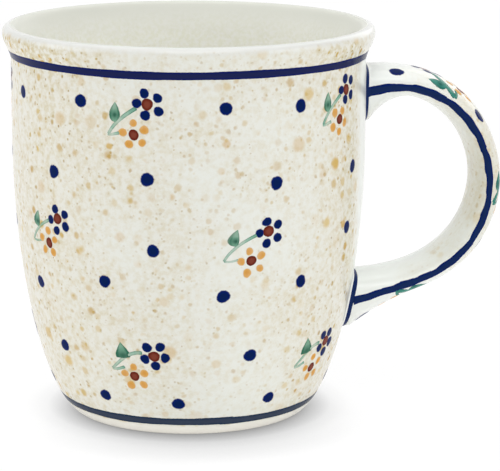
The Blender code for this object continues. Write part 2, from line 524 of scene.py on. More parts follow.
@dataclass(frozen=True)
class Pigment:
    """An underglaze colour put on with a sponge or brush: it thins at its border and pools inside."""

    name: str
    edge: str
    core: str
    pooled: str
    strength: float = 1.0
    core_range: Pair = (0.3, 0.8)
    fade_from: float = 0.88
    wash_size: float = 2.2 * MM
    wash_range: Pair = (0.35, 0.7)
    wash: float = 0.0
    fray_size: float = 0.6 * MM
    fray: float = 0.12
    gloss: float = 0.03

    def material(self, ground: SpeckledGlaze) -> bpy.types.Material:
        """The colour under the glaze of the piece that it is painted on.

        Args:
            ground: glaze that shows where the colour thins out.

        Returns:
            The material.
        """
        material = empty_material(f"{self.name} under {ground.name}")
        tree = material.node_tree
        place = add_node(tree, "ShaderNodeTexCoord", out="Object")
        rim = add_node(tree, "ShaderNodeAttribute", out="Fac", attribute_name=RIM_LAYER)
        pool = add_node(tree, "ShaderNodeAttribute", out="Fac", attribute_name=POOL_LAYER)
        grain = add_node(tree, "ShaderNodeTexNoise", {"Vector": place, "Scale": 1 / self.fray_size})
        swing = add_node(
            tree, "ShaderNodeMapRange", {"Value": grain, "To Min": -self.fray, "To Max": self.fray}
        )
        frayed = add_node(tree, "ShaderNodeMath", {0: rim, 1: swing})
        start, end = self.core_range
        border = add_node(
            tree, "ShaderNodeMapRange", {"Value": frayed, "From Min": start, "From Max": end}, **SMOOTH
        )
        colour = add_node(
            tree,
            "ShaderNodeMix",
            {"Factor": border, MIX_A: linear(self.core), MIX_B: linear(self.edge)},
            **BLEND,
        )
        colour = add_node(
            tree, "ShaderNodeMix", {"Factor": pool, MIX_A: colour, MIX_B: linear(self.pooled)}, **BLEND
        )
        clouds = add_node(tree, "ShaderNodeTexNoise", {"Vector": place, "Scale": 1 / self.wash_size})
        low, high = self.wash_range
        full, washed = self.strength, self.strength - self.wash
        body = add_node(
            tree,
            "ShaderNodeMapRange",
            {"Value": clouds, "From Min": low, "From Max": high, "To Min": full, "To Max": washed},
            **SMOOTH,
        )
        laid = add_node(tree, "ShaderNodeMath", {0: body, 1: pool}, use_clamp=True)
        kept = add_node(
            tree,
            "ShaderNodeMapRange",
            {"Value": frayed, "From Min": self.fade_from, "To Min": 1.0, "To Max": 0.0},
            **SMOOTH,
        )
        cover = add_node(tree, "ShaderNodeMath", {0: laid, 1: kept}, operation="MULTIPLY")
        shade = add_node(
            tree, "ShaderNodeMix", {"Factor": cover, MIX_A: ground.colour(tree), MIX_B: colour}, **BLEND
        )
        ground.shaded(tree, shade, self.gloss)
        return material


BODY_GLAZE = SpeckledGlaze("speckled ivory glaze")
HANDLE_GLAZE = SpeckledGlaze(
    "pale ivory glaze",
    ivory="f1f4f0",
    warm="e6e4d8",
    speckle=0.6,
    crowd=(-0.3, 0.5),
    # Painted shade as well as specks: on the strap, denser and warmer specks towards the crook.
    side_specks_and_shade_span=mm(56.0, 74.0),
    side_specks_and_shade=0.85,
    under_lip_specks_and_shade=0.0,
    handle_reflection=0.0,
)
COBALT_DAB = Pigment("cobalt dab", edge="001a62", core="031d52", pooled="101a44", fade_from=0.8)
COBALT_BAND = Pigment("cobalt band", edge="0a1a5e", core="1c2350", pooled="1c1f4c")
COBALT_FOOT = Pigment("thin cobalt band", edge="22344e", core="384256", pooled="1c1f4c")
COBALT_EDGE = Pigment("cobalt edging", edge="001c62", core="162a58", pooled="1c1f4c")
OCHRE = Pigment(
    "ochre dab", edge="dba552", core="da993a", pooled="d98f3c", strength=0.96, wash=0.1, fade_from=0.75
)
RED_BROWN = Pigment("red-brown dab", edge="68261a", core="803f30", pooled="5e1f18")
COPPER_WASH = Pigment(
    "copper green wash",
    edge="588f78",
    core="8fb8a4",
    pooled="3c8068",
    strength=0.9,
    wash=0.4,
    fade_from=0.8,
)
COPPER_GREEN = Pigment(
    "copper green", edge="38745c", core="74a48c", pooled="164f3e", strength=0.96, wash=0.15, fade_from=0.86
)
DEEP_GREEN = Pigment("deep copper green", edge="1f6a60", core="458e80", pooled="125048", wash=0.15)


def finished(
    name: str,
    shape: bmesh.types.BMesh,
    materials: list[bpy.types.Material],
    slot: Slot,
    stands_for: tuple[str, ...] = (),
) -> bpy.types.Object:
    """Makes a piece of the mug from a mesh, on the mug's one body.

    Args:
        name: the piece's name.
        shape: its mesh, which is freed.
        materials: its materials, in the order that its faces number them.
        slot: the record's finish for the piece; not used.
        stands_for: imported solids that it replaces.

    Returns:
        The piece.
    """
    mesh = bpy.data.meshes.new(name)
    shape.to_mesh(mesh)
    shape.free()
    mesh.shade_smooth()
    for material in materials:
        mesh.materials.append(material)
    piece = bpy.data.objects.new(name, mesh)
    bpy.context.scene.collection.objects.link(piece)
    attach(piece, BODY)
    if stands_for:
        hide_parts(*stands_for)
    LOG.info("%s: %d faces", name, len(mesh.polygons))
    return piece


def loft(shape: bmesh.types.BMesh, rings: list[list[Vector]]) -> tuple[Edges, Edges]:
    """Extrudes a circle through rings of points.

    Args:
        shape: mesh that takes the tube.
        rings: rings with as many points each.

    Returns:
        The edges of the first ring and those of the last.
    """
    made = bmesh.ops.create_circle(shape, segments=len(rings[0]), radius=1.0)
    verts = made["verts"]
    for vert, point in zip(verts, rings[0]):
        vert.co = point
    first = list({edge for vert in verts for edge in vert.link_edges})
    edges = first
    for ring in rings[1:]:
        grown = bmesh.ops.extrude_edge_only(shape, edges=edges)["geom"]
        edges = [item for item in grown if isinstance(item, bmesh.types.BMEdge)]
        fresh = {item for item in grown if isinstance(item, bmesh.types.BMVert)}
        follow = {}
        for vert in verts:
            for edge in vert.link_edges:
                other = edge.other_vert(vert)
                if other in fresh:
                    follow[vert] = other
        verts = [follow[vert] for vert in verts]
        for vert, point in zip(verts, ring):
            vert.co = point
    return first, [edge for edge in edges if all(vert in set(verts) for vert in edge.verts)]


@dataclass(frozen=True)
class Wall:
    """The body's turned outside: a full belly, a straight wall and a lip that turns out."""

    axis: Vector
    height: float
    rim_radius: float
    wall_radius: float = 42.9 * MM
    thickness: float = 3.6 * MM
    flare_height: float = 6.7 * MM
    belly_height: float = 67.0 * MM
    belly_fullness: float = 1.6
    foot_radius: float = 27.9 * MM
    slope_step: float = 0.2 * MM

    @classmethod
    def from_frame(cls) -> "Wall":
        """The wall, with its axis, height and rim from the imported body."""
        return cls(AXIS, BODY_HIGH.z, (BODY_HIGH.y - BODY_LOW.y) / 2)

    @property
    def lip_radius(self) -> float:
        """The lip is rounded over half the wall's thickness."""
        return self.thickness / 2

    @property
    def lip_height(self) -> float:
        """Where the rounding of the lip starts."""
        return self.height - self.lip_radius

    @property
    def flare_start(self) -> float:
        """Where the straight wall starts to turn out."""
        return self.lip_height - self.flare_height

    def radius(self, height: float) -> float:
        """Works out the outside radius.

        Args:
            height: height above the table.

        Returns:
            The radius there.
        """
        if height < self.belly_height:
            drop = 1 - max(height, 0.0) / self.belly_height
            share = (1 - drop**2) ** (1 / self.belly_fullness)
            return self.foot_radius + (self.wall_radius - self.foot_radius) * share
        rise = min(max((height - self.flare_start) / self.flare_height, 0.0), 1.0)
        return self.wall_radius + (self.rim_radius - self.wall_radius) * (1 - math.cos(math.pi * rise)) / 2

    def slope(self, height: float) -> float:
        """How fast the radius grows with height."""
        low = max(height - self.slope_step, 0.0)
        return (self.radius(height + self.slope_step) - self.radius(low)) / (height + self.slope_step - low)

    def spot(self, turn: float, height: float) -> Spot:
        """A point of the outside and its normal.

        Args:
            turn: angle about the mug's axis from the handle, in radians.
            height: height above the table.

        Returns:
            The point and the normal.
        """
        out = Vector((math.cos(turn), math.sin(turn), 0.0))
        normal = (out - UP * self.slope(height)).normalized()
        return self.axis + out * self.radius(height) + UP * height, normal

    def stand_off(self, point: Vector) -> float:
        """How far a point lies outside the wall, measured from the mug's axis."""
        return (point - self.axis).xy.length - self.radius(point.z)

    def beneath(self, point: Vector) -> Spot:
        """The wall's point and normal on the line from the axis to another point."""
        away = point - self.axis
        return self.spot(math.atan2(away.y, away.x), point.z)

    def chart(self, turn: float, height: float, tilt: float = 0.0) -> Chart:
        """Lays flat drawing coordinates on the wall.

        Args:
            turn: angle of the drawing's origin about the axis, in radians.
            height: height of the origin.
            tilt: how far the drawing is turned on the wall, in radians.

        Returns:
            A function from metres right and up to a point and its normal.
        """
        around = self.radius(height)
        steep = math.hypot(1.0, self.slope(height))

        def lay(right: float, up: float) -> Spot:
            """Takes a place on the drawing to the wall.

            Args:
                right: how far right on the drawing.
                up: how far up on the drawing.

            Returns:
                The point and its normal.
            """
            across = right * math.cos(tilt) - up * math.sin(tilt)
            along = right * math.sin(tilt) + up * math.cos(tilt)
            return self.spot(turn + across / around, height + along / steep)

        return lay


class Side(IntEnum):
    """The body's finishes, by the number that its faces give them."""

    OUTSIDE = 0
    INSIDE = 1
    FOOT = 2


@dataclass
class MugBody:
    """The turned body, with its wall, lip, floor and foot ring."""

    wall: Wall
    foot_ring_width: float = 4.2 * MM
    foot_recess: float = 1.6 * MM
    foot_recess_slope: float = 1.2 * MM
    floor_thickness: float = 5.6 * MM
    floor_fillet: float = 9.0 * MM
    turn_steps: int = 192
    belly_steps: int = 48
    belly_crowding: float = 2.0
    wall_steps: int = 20
    flare_steps: int = 12
    lip_steps: int = 16
    fillet_steps: int = 12
    floor_steps: int = 4
    ring_edge: float = 0.05 * MM

    @property
    def floor_height(self) -> float:
        """Height of the inside floor."""
        return self.foot_recess + self.floor_thickness

    def outside(self) -> list[Pair]:
        """Draws the outside, from the lip down to the table.

        Returns:
            Its radii and heights.
        """
        wall = self.wall
        flare = [wall.lip_height - wall.flare_height * i / self.flare_steps for i in range(self.flare_steps)]
        straight = wall.flare_start - wall.belly_height
        upright = [wall.flare_start - straight * i / self.wall_steps for i in range(self.wall_steps)]
        shares = [(i / self.belly_steps) ** self.belly_crowding for i in range(self.belly_steps, -1, -1)]
        heights = flare + upright + [wall.belly_height * share for share in shares]
        return [(wall.radius(height), height) for height in heights]

    @property
    def lip_splay(self) -> float:
        """Angle from upright at which the inside runs out over the lip."""
        wall = self.wall
        return math.atan2(2 * (wall.rim_radius - wall.wall_radius), wall.flare_height)

    def lip(self) -> list[Pair]:
        """Draws the rounding of the lip, from inside over to outside.

        Returns:
            Its radii and heights.
        """
        wall = self.wall
        middle = wall.rim_radius - wall.lip_radius
        sweep = math.pi - self.lip_splay
        angles = [sweep * (1 - i / self.lip_steps) for i in range(self.lip_steps)]
        return [
            (middle + wall.lip_radius * math.cos(a), wall.lip_height + wall.lip_radius * math.sin(a))
            for a in angles
        ]

    def inside(self) -> list[Pair]:
        """Draws the inside, from the middle of the floor up to the lip.

        Returns:
            Its radii and heights.
        """
        wall = self.wall
        top = self.floor_height + self.floor_fillet
        foot = Vector((wall.radius(top) - wall.thickness, top, 0.0))
        corner = Vector((foot.x - wall.slope(top) * self.floor_fillet, self.floor_height, 0.0))
        floor = corner - Vector(((foot - corner).length, 0.0, 0.0))
        curve = interpolate_bezier(
            floor, floor.lerp(corner, PULL), foot.lerp(corner, PULL), foot, self.fillet_steps + 1
        )
        flat = [(floor.x * i / self.floor_steps, self.floor_height) for i in range(self.floor_steps)]
        rise = wall.flare_start - top
        steps = self.belly_steps
        heights = [top + rise * i / steps for i in range(1, steps)]
        upright = [(wall.radius(height) - wall.thickness, height) for height in heights]
        splay = self.lip_splay
        end = wall.lip_height + wall.lip_radius * math.sin(splay)
        reach = wall.rim_radius - wall.lip_radius * (1 + math.cos(splay)) - wall.wall_radius + wall.thickness
        opened = []
        for i in range(self.flare_steps):
            share = i / self.flare_steps
            height = wall.flare_start + (end - wall.flare_start) * share
            opened.append((wall.wall_radius - wall.thickness + reach * share**2, height))
        return flat + [(p.x, p.y) for p in curve] + upright + opened

    def underside(self) -> list[Pair]:
        """Draws the foot ring and the hollow inside it, towards the axis.

        Returns:
            Their radii and heights.
        """
        inner = self.wall.foot_radius - self.foot_ring_width
        return [
            (inner, 0.0),
            (inner - self.ring_edge, self.ring_edge),
            (inner - self.foot_recess_slope, self.foot_recess - self.ring_edge),
            (inner - self.foot_recess_slope - self.ring_edge, self.foot_recess),
            (0.0, self.foot_recess),
        ]

    def build(self) -> bpy.types.Object:
        """Turns the body's section about the mug's axis and gives each side its finish.

        Returns:
            The body.
        """
        shape = bmesh.new()
        section = self.inside() + self.lip() + self.outside() + self.underside()
        points = [shape.verts.new(self.wall.axis + Vector((r, 0.0, z))) for r, z in section]
        edges = [shape.edges.new(pair) for pair in zip(points, points[1:])]
        bmesh.ops.spin(
            shape,
            geom=points + edges,
            cent=self.wall.axis,
            axis=UP,
            angle=2 * math.pi,
            steps=self.turn_steps,
            use_merge=True,
        )
        bmesh.ops.remove_doubles(shape, verts=shape.verts, dist=MERGE)
        bmesh.ops.recalc_face_normals(shape, faces=shape.faces)
        for face in shape.faces:
            face.material_index = self.finish_of(face)
        materials = [BODY_GLAZE.material(), LinerGlaze().material(), BareStoneware().material()]
        return finished("mug_body_glazed", shape, materials, Slot.BODY, ("mug_body",))

    def finish_of(self, face: bmesh.types.BMFace) -> Side:
        """Finds which of the body's finishes a face shows.

        Args:
            face: a face of the turned body.

        Returns:
            The outside, the inside or the bare foot ring.
        """
        middle = face.calc_center_median()
        if middle.z < self.ring_edge and face.normal.z < 0:
            return Side.FOOT
        inner = (middle - self.wall.axis).xy.length < self.wall.radius(middle.z) - self.wall.lip_radius
        above_floor = middle.z > self.foot_recess + self.ring_edge
        return Side.INSIDE if inner and above_floor else Side.OUTSIDE


@dataclass
class Strap:
    """The strap handle: an oval section along one line from the upper root round to the lower."""

    wall: Wall
    reach: float
    half_width: float
    thickness: float = 7.1 * MM
    crook_drop: float = 25.0 * MM
    crook_pull_up: float = 11.9 * MM
    crook_pull_down: float = 5.1 * MM
    upper_root_drop: float = 14.5 * MM
    upper_root_rise: float = math.radians(6.6)
    upper_root_pull: float = 21.5 * MM
    upper_flare: float = 6.6 * MM
    upper_flare_length: float = 14.0 * MM
    lower_root_height: float = 29.2 * MM
    lower_root_pull: float = 31.6 * MM
    lower_flare: float = 7.1 * MM
    lower_flare_length: float = 16.3 * MM
    seat: float = 1.2 * MM
    sides: int = 64
    ring_spacing: float = 1.0 * MM
    samples: int = 200
    girth_steps: int = 24
    seat_steps: int = 12
    route: list[Vector] = field(init=False)
    lengths: list[float] = field(init=False)

    def __post_init__(self) -> None:
        """Works out the strap's middle line."""
        wall = self.wall
        high = wall.height - self.upper_root_drop
        crook = wall.axis + Vector((self.reach - self.thickness / 2, 0.0, high - self.crook_drop))
        upper = wall.spot(0.0, high)[0]
        lower = wall.spot(0.0, self.lower_root_height)[0]
        rise = Vector((math.cos(self.upper_root_rise), 0.0, math.sin(self.upper_root_rise)))
        down = interpolate_bezier(
            upper, upper + rise * self.upper_root_pull, crook + UP * self.crook_pull_up, crook, self.samples
        )
        back = interpolate_bezier(
            crook,
            crook - UP * self.crook_pull_down,
            lower + Vector((self.lower_root_pull, 0.0, 0.0)),
            lower,
            self.samples,
        )
        self.route = down + back[1:]
        self.lengths = [0.0]
        for near, far in zip(self.route, self.route[1:]):
            self.lengths.append(self.lengths[-1] + (far - near).length)

    @classmethod
    def from_frame(cls, wall: Wall) -> "Strap":
        """The strap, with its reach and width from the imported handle."""
        low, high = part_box("handle")
        return cls(wall, high.x - wall.axis.x - PAINT_ROOM, (high.y - low.y) / 2)

    @property
    def length(self) -> float:
        """Length of the strap's middle line from root to root."""
        return self.lengths[-1]

    def middle(self, length: float) -> tuple[Vector, Vector]:
        """The middle line's point and direction, which runs straight on into the wall at each root.

        Args:
            length: how far along from the upper root.

        Returns:
            The point and the direction.
        """
        i = min(max(bisect_right(self.lengths, length), 1), len(self.lengths) - 1)
        start, end = self.route[i - 1], self.route[i]
        share = (length - self.lengths[i - 1]) / (self.lengths[i] - self.lengths[i - 1])
        before = self.route[max(i - 2, 0)]
        after = self.route[min(i + 1, len(self.route) - 1)]
        direction = (end - before).lerp(after - start, min(max(share, 0.0), 1.0))
        return start + (end - start) * share, direction.normalized()

    def depths(self, length: float) -> Pair:
        """Works out the section's depth, which swells where each root spreads on the wall.

        Args:
            length: how far along from the upper root.

        Returns:
            The depth outwards and the depth inwards.
        """
        half = self.thickness / 2
        near = min(max(1 - length / self.upper_flare_length, 0.0), 1.0)
        far = min(max(1 - (self.length - length) / self.lower_flare_length, 0.0), 1.0)
        return half + self.lower_flare * far**2, half + self.upper_flare * near**2

    def spot(self, length: float, angle: float) -> Spot:
        """A point of the strap and its normal.

        Args:
            length: how far along from the upper root.
            angle: angle round the section from its outer face, in radians.

        Returns:
            The point and the normal.
        """
        point, direction = self.middle(length)
        outward = Vector((-direction.z, 0.0, direction.x))
        outer, inner = self.depths(length)
        depth = outer if math.cos(angle) > 0 else inner
        normal = outward * (math.cos(angle) / depth) + ACROSS * (math.sin(angle) / self.half_width)
        place = point + outward * (depth * math.cos(angle)) + ACROSS * (self.half_width * math.sin(angle))
        return place, normal.normalized()

    def meets_wall(self, root: "Root", angle: float, depth: float = 0.0) -> float:
        """Where along the strap its surface meets the wall.

        Args:
            root: which end of the strap.
            angle: angle round the section.
            depth: how far under the wall's surface to meet.

        Returns:
            The length from the upper root.
        """
        length = root.start(self)
        for _ in range(self.seat_steps):
            length -= root.away * (self.wall.stand_off(self.spot(length, angle)[0]) + depth)
        return length

    def angle_at(self, girth: float) -> float:
        """Finds a place round the section.

        Args:
            girth: distance along the section's outline from the middle of the outer face.

        Returns:
            The angle round the section there.
        """
        angle = 0.0
        step = girth / self.girth_steps
        half_depth = self.thickness / 2
        for _ in range(self.girth_steps):
            angle += step / math.hypot(self.half_width * math.cos(angle), half_depth * math.sin(angle))
        return angle

    def chart(self, length: float, girth: float) -> Chart:
        """Lays flat drawing coordinates on the strap's outer face, with up towards the upper root.

        Args:
            length: place of the drawing's origin along the strap.
            girth: place of the origin round the section, from the middle of the outer face.

        Returns:
            A function from metres right and up to a point and its normal.
        """

        def lay(right: float, up: float) -> Spot:
            """A place on the drawing, on the strap."""
            return self.spot(length - up, self.angle_at(girth + right))

        return lay

    def build(self) -> bpy.types.Object:
        """Lofts the strap, with both ends set in the wall.

        Returns:
            The handle.
        """
        angles = [2 * math.pi * i / self.sides for i in range(self.sides)]
        steps = round(self.length / self.ring_spacing)
        rings = [[self.spot(self.length * i / steps, a)[0] for a in angles] for i in range(steps + 1)]
        ends = [
            [self.spot(self.meets_wall(root, a, self.seat), a)[0] for a in angles]
            for root in (Root.UPPER, Root.LOWER)
        ]
        shape = bmesh.new()
        first, last = loft(shape, [ends[0], *rings, ends[1]])
        bmesh.ops.edgeloop_fill(shape, edges=first)
        bmesh.ops.edgeloop_fill(shape, edges=last)
        bmesh.ops.recalc_face_normals(shape, faces=shape.faces)
        return finished("handle_glazed", shape, [HANDLE_GLAZE.material()], Slot.HANDLE, ("handle",))


class Root(Enum):
    """The two ends of the strap, with the way that leads away from the wall there."""

    UPPER = 1
    LOWER = -1

    @property
    def away(self) -> int:
        """Sign of a step along the strap that leaves the wall."""
        return self.value

    def start(self, strap: Strap) -> float:
        """Where this root lies along the strap."""
        return 0.0 if self is Root.UPPER else strap.length


@dataclass
class SlipCollar:
    """The slip squeezed out round a root, wiped to a small hollow fillet under the glaze."""

    strap: Strap
    root: Root
    spread: float = 1.3 * MM
    climb: float = 2.0 * MM
    sink: float = 0.06 * MM
    core: float = 0.5 * MM
    sides: int = 96
    steps: int = 8

    def corners(self, angle: float) -> tuple[Vector, Vector, Vector]:
        """The fillet's edge on the wall, the corner that it fills and its edge on the strap.

        Args:
            angle: angle round the strap's section.

        Returns:
            The three points.
        """
        strap = self.strap
        meet = strap.meets_wall(self.root, angle)
        corner, normal = strap.spot(meet, angle)
        low, out = strap.wall.beneath(corner + normal * self.spread)
        high, side = strap.spot(meet + self.root.away * self.climb, angle)
        return low - out * self.sink, corner, high - side * self.sink

    def normals(self, angle: float) -> tuple[Vector, Vector]:
        """Finds how the wall and the strap face at the corner that the fillet fills.

        Args:
            angle: angle round the strap's section.

        Returns:
            The wall's normal and the strap's.
        """
        strap = self.strap
        corner, normal = strap.spot(strap.meets_wall(self.root, angle), angle)
        return strap.wall.beneath(corner)[1], normal

    def spot(self, angle: float, share: float) -> Spot:
        """A point of the fillet and its normal.

        Args:
            angle: angle round the strap's section.
            share: how far from the wall, 0, towards the strap, 1.

        Returns:
            The point and the normal.
        """
        low, corner, high = self.corners(angle)
        point = low.lerp(corner, share).lerp(corner.lerp(high, share), share)
        wall_normal, strap_normal = self.normals(angle)
        return point, wall_normal.lerp(strap_normal, share).normalized()

    def heart(self, angle: float) -> Vector:
        """Finds a point of the collar's back, sunk in the wall and the strap.

        Args:
            angle: angle round the strap's section.

        Returns:
            The point.
        """
        corner = self.corners(angle)[1]
        wall_normal, strap_normal = self.normals(angle)
        return corner - (wall_normal + strap_normal) * self.core

    def build(self) -> bpy.types.Object:
        """Lofts the fillet round the root and closes it behind.

        Returns:
            The collar.
        """
        angles = [2 * math.pi * i / self.sides for i in range(self.sides)]
        rings = [[self.spot(a, i / self.steps)[0] for a in angles] for i in range(self.steps + 1)]
        rings.append([self.heart(a) for a in angles])
        shape = bmesh.new()
        first, last = loft(shape, rings)
        bmesh.ops.bridge_loops(shape, edges=first + last)
        bmesh.ops.recalc_face_normals(shape, faces=shape.faces)
        name = self.root.name.lower()
        return finished(
            f"{name}_slip_collar", shape, [HANDLE_GLAZE.material()], Slot.SLIP, (f"{name}_slip_joint",)
        )


@dataclass
class PaintLayer:
    """All the strokes of one colour on one piece: thin closed films let into the glaze."""

    name: str
    pigment: Pigment
    ground: SpeckledGlaze
    slot: Slot
    film: float
    backing: float = 0.12 * MM
    sunk_share: float = 1.25
    sunk_power: int = 4
    dab_steps: Counts = (4, 20)
    dab_waves: Counts = (2, 3)
    unevenness: Pair = (0.01, 0.05)
    stroke_steps: Counts = (4, 18)
    stroke_taper: float = 8.0
    stroke_pooling: float = 4.0
    leaf_steps: Counts = (8, 20)
    leaf_pooling: float = 3.0
    shape: bmesh.types.BMesh = field(default_factory=bmesh.new)

    def __post_init__(self) -> None:
        """Gives the mesh the two values that its colour reads."""
        self.shape.verts.layers.float.new(RIM_LAYER)
        self.shape.verts.layers.float.new(POOL_LAYER)

    def patch(self, steps: Counts, place: Brush) -> None:
        """Lays a grid on a surface as one stroke.

        Args:
            steps: the grid's steps each way.
            place: takes a grid place, from -1 to 1 each way, to a surface spot, how near it is to the
                stroke's border and how much colour has pooled there.
        """
        rim, pool = (self.shape.verts.layers.float[name] for name in (RIM_LAYER, POOL_LAYER))
        made = bmesh.ops.create_grid(self.shape, x_segments=steps[0], y_segments=steps[1], size=1.0)
        facing = {}
        for vert in made["verts"]:
            (point, normal), vert[rim], vert[pool] = place(vert.co.x, vert.co.y)
            vert.co = point + normal * (self.film * (1 - self.sunk_share * vert[rim] ** self.sunk_power))
            facing[vert] = normal
        faces = list({face for vert in made["verts"] for face in vert.link_faces})
        for face in faces:
            face.normal_update()
        if sum(face.normal.dot(facing[face.verts[0]]) for face in faces) < 0:
            bmesh.ops.reverse_faces(self.shape, faces=faces)

    def dab(self, chart: Chart, middle: Pair, radii: Pair, lean: float, rng: random.Random) -> None:
        """A round touch of the sponge or brush, not quite true.

        Args:
            chart: surface that it is put on.
            middle: its middle on the chart.
            radii: its half lengths along and across its lean.
            lean: direction of its first half length.
            rng: draws its unevenness.
        """
        phases = [rng.uniform(0, 2 * math.pi) for _ in range(2)]
        uneven = [rng.uniform(*self.unevenness) for _ in range(2)]

        def place(x: float, y: float) -> Touch:
            """Lays the dab in rings about its middle.

            Args:
                x: grid place from the dab's middle to its border.
                y: grid place round the dab.

            Returns:
                The surface spot, how near it is to the border and the pooled colour.
            """
            share, angle = (x + 1) / 2, math.pi * (y + 1)
            waver = 1.0
            for swing, waves, phase in zip(uneven, self.dab_waves, phases):
                waver += swing * math.cos(waves * angle + phase)
            long = radii[0] * waver * share * math.cos(angle)
            wide = radii[1] * waver * share * math.sin(angle)
            right = middle[0] + long * math.cos(lean) - wide * math.sin(lean)
            up = middle[1] + long * math.sin(lean) + wide * math.cos(lean)
            return chart(right, up), share, 0.0

        self.patch(self.dab_steps, place)

    def stroke(self, chart: Chart, route: tuple[Pair, Pair, Pair, Pair], widths: Pair, pools: Pair) -> None:
        """A brush stroke along a curve.

        Args:
            chart: surface that it is painted on.
            route: the curve's start, its two pulls and its end.
            widths: the stroke's width at its start and end.
            pools: how much colour has run together at its start and end.
        """
        steps = self.stroke_steps[1]
        curve = interpolate_bezier(*(Vector((*point, 0.0)) for point in route), steps + 1)

        def place(x: float, y: float) -> Touch:
            """Lays the stroke across its width and along its curve.

            Args:
                x: grid place across the stroke.
                y: grid place along it.

            Returns:
                The surface spot, how near it is to the border and the pooled colour.
            """
            i = round((y + 1) / 2 * steps)
            share = i / steps
            ahead = (curve[min(i + 1, steps)] - curve[max(i - 1, 0)]).normalized()
            half = (widths[0] + (widths[1] - widths[0]) * share) / 2
            spot = curve[i] + Vector((ahead.y, -ahead.x, 0.0)) * (half * x)
            ends = max(0.0, abs(y) * self.stroke_taper - (self.stroke_taper - 1))
            pool = pools[0] * max(0.0, 1 - share * self.stroke_pooling)
            pool += pools[1] * max(0.0, 1 - (1 - share) * self.stroke_pooling)
            return chart(spot.x, spot.y), max(abs(x), ends), pool

        self.patch(self.stroke_steps, place)

    def leaf(self, chart: Chart, base: Pair, tip: Pair, widths: Pair, broad: float, pool: Pair) -> None:
        """A leaf pressed from a full brush, with the colour pooled where it is broadest.

        Args:
            chart: surface that it is painted on.
            base: foot of the leaf on the chart.
            tip: its point.
            widths: how far it reaches to the left and right of its spine.
            broad: how far along the spine it is broadest, from 0 to 1.
            pool: how much colour has pooled there, and over what share of the spine.
        """
        foot, spine = Vector(base), Vector(tip) - Vector(base)
        side = Vector((spine.y, -spine.x)).normalized()

        def place(x: float, y: float) -> Touch:
            """Lays the leaf across its width and along its spine.

            Args:
                x: grid place across the leaf.
                y: grid place along its spine.

            Returns:
                The surface spot, how near it is to the border and the pooled colour.
            """
            share = (y + 1) / 2
            swell = (share / broad) ** (broad / (1 - broad)) * (1 - share) / (1 - broad)
            spot = foot + spine * share + side * (swell * x * widths[1 if x > 0 else 0])
            along, across = (share - broad) / pool[1], x / (self.leaf_pooling * pool[1])
            return chart(spot.x, spot.y), abs(x), pool[0] * math.exp(-(along**2) - across**2)

        self.patch(self.leaf_steps, place)

    def finish(self) -> bpy.types.Object:
        """Closes the films behind and makes the layer a piece.

        Returns:
            The piece.
        """
        bmesh.ops.remove_doubles(self.shape, verts=self.shape.verts, dist=MERGE)
        self.shape.normal_update()
        bmesh.ops.solidify(self.shape, geom=self.shape.faces[:], thickness=self.backing)
        return finished(self.name, self.shape, [self.pigment.material(self.ground)], self.slot)


@dataclass
class Palette:
    """The layers of paint on one piece of the mug, each with the thickness that it stands proud."""

    prefix: str
    ground: SpeckledGlaze
    slot: Slot
    stem: Pigment
    leaf: Pigment
    stem_film: float = 0.03 * MM
    line_film: float = 0.04 * MM
    leaf_film: float = 0.04 * MM
    dot_film: float = 0.045 * MM
    ochre_film: float = 0.045 * MM
    blue_film: float = 0.05 * MM
    centre_film: float = 0.06 * MM
    layers: dict[str, PaintLayer] = field(default_factory=dict)

    def layer(self, name: str, pigment: Pigment, film: float) -> PaintLayer:
        """Gives the layer of a name, made when it is first asked for.

        Args:
            name: the layer's name.
            pigment: its colour.
            film: how far it stands proud of the glaze.

        Returns:
            The layer.
        """
        if name not in self.layers:
            self.layers[name] = PaintLayer(f"{self.prefix}_{name}", pigment, self.ground, self.slot, film)
        return self.layers[name]

    @property
    def stems(self) -> PaintLayer:
        """Green stems, put on first."""
        return self.layer("stems", self.stem, self.stem_film)

    @property
    def leaves(self) -> PaintLayer:
        """Green leaves, over the stems."""
        return self.layer("leaves", self.leaf, self.leaf_film)

    @property
    def ochre_petals(self) -> PaintLayer:
        """Ochre petals."""
        return self.layer("ochre_petals", OCHRE, self.ochre_film)

    @property
    def blue_petals(self) -> PaintLayer:
        """Cobalt petals."""
        return self.layer("blue_petals", COBALT_DAB, self.blue_film)

    @property
    def centres(self) -> PaintLayer:
        """Red-brown middles of the flowers, put on last."""
        return self.layer("flower_centres", RED_BROWN, self.centre_film)

    @property
    def dots(self) -> PaintLayer:
        """Cobalt dots scattered between the sprigs."""
        return self.layer("dots", COBALT_DAB, self.dot_film)

    def line(self, name: str, pigment: Pigment) -> PaintLayer:
        """A band or an edge line of its own strength of cobalt."""
        return self.layer(name, pigment, self.line_film)

    def finish(self) -> None:
        """Makes every layer a piece."""
        for layer in self.layers.values():
            layer.finish()


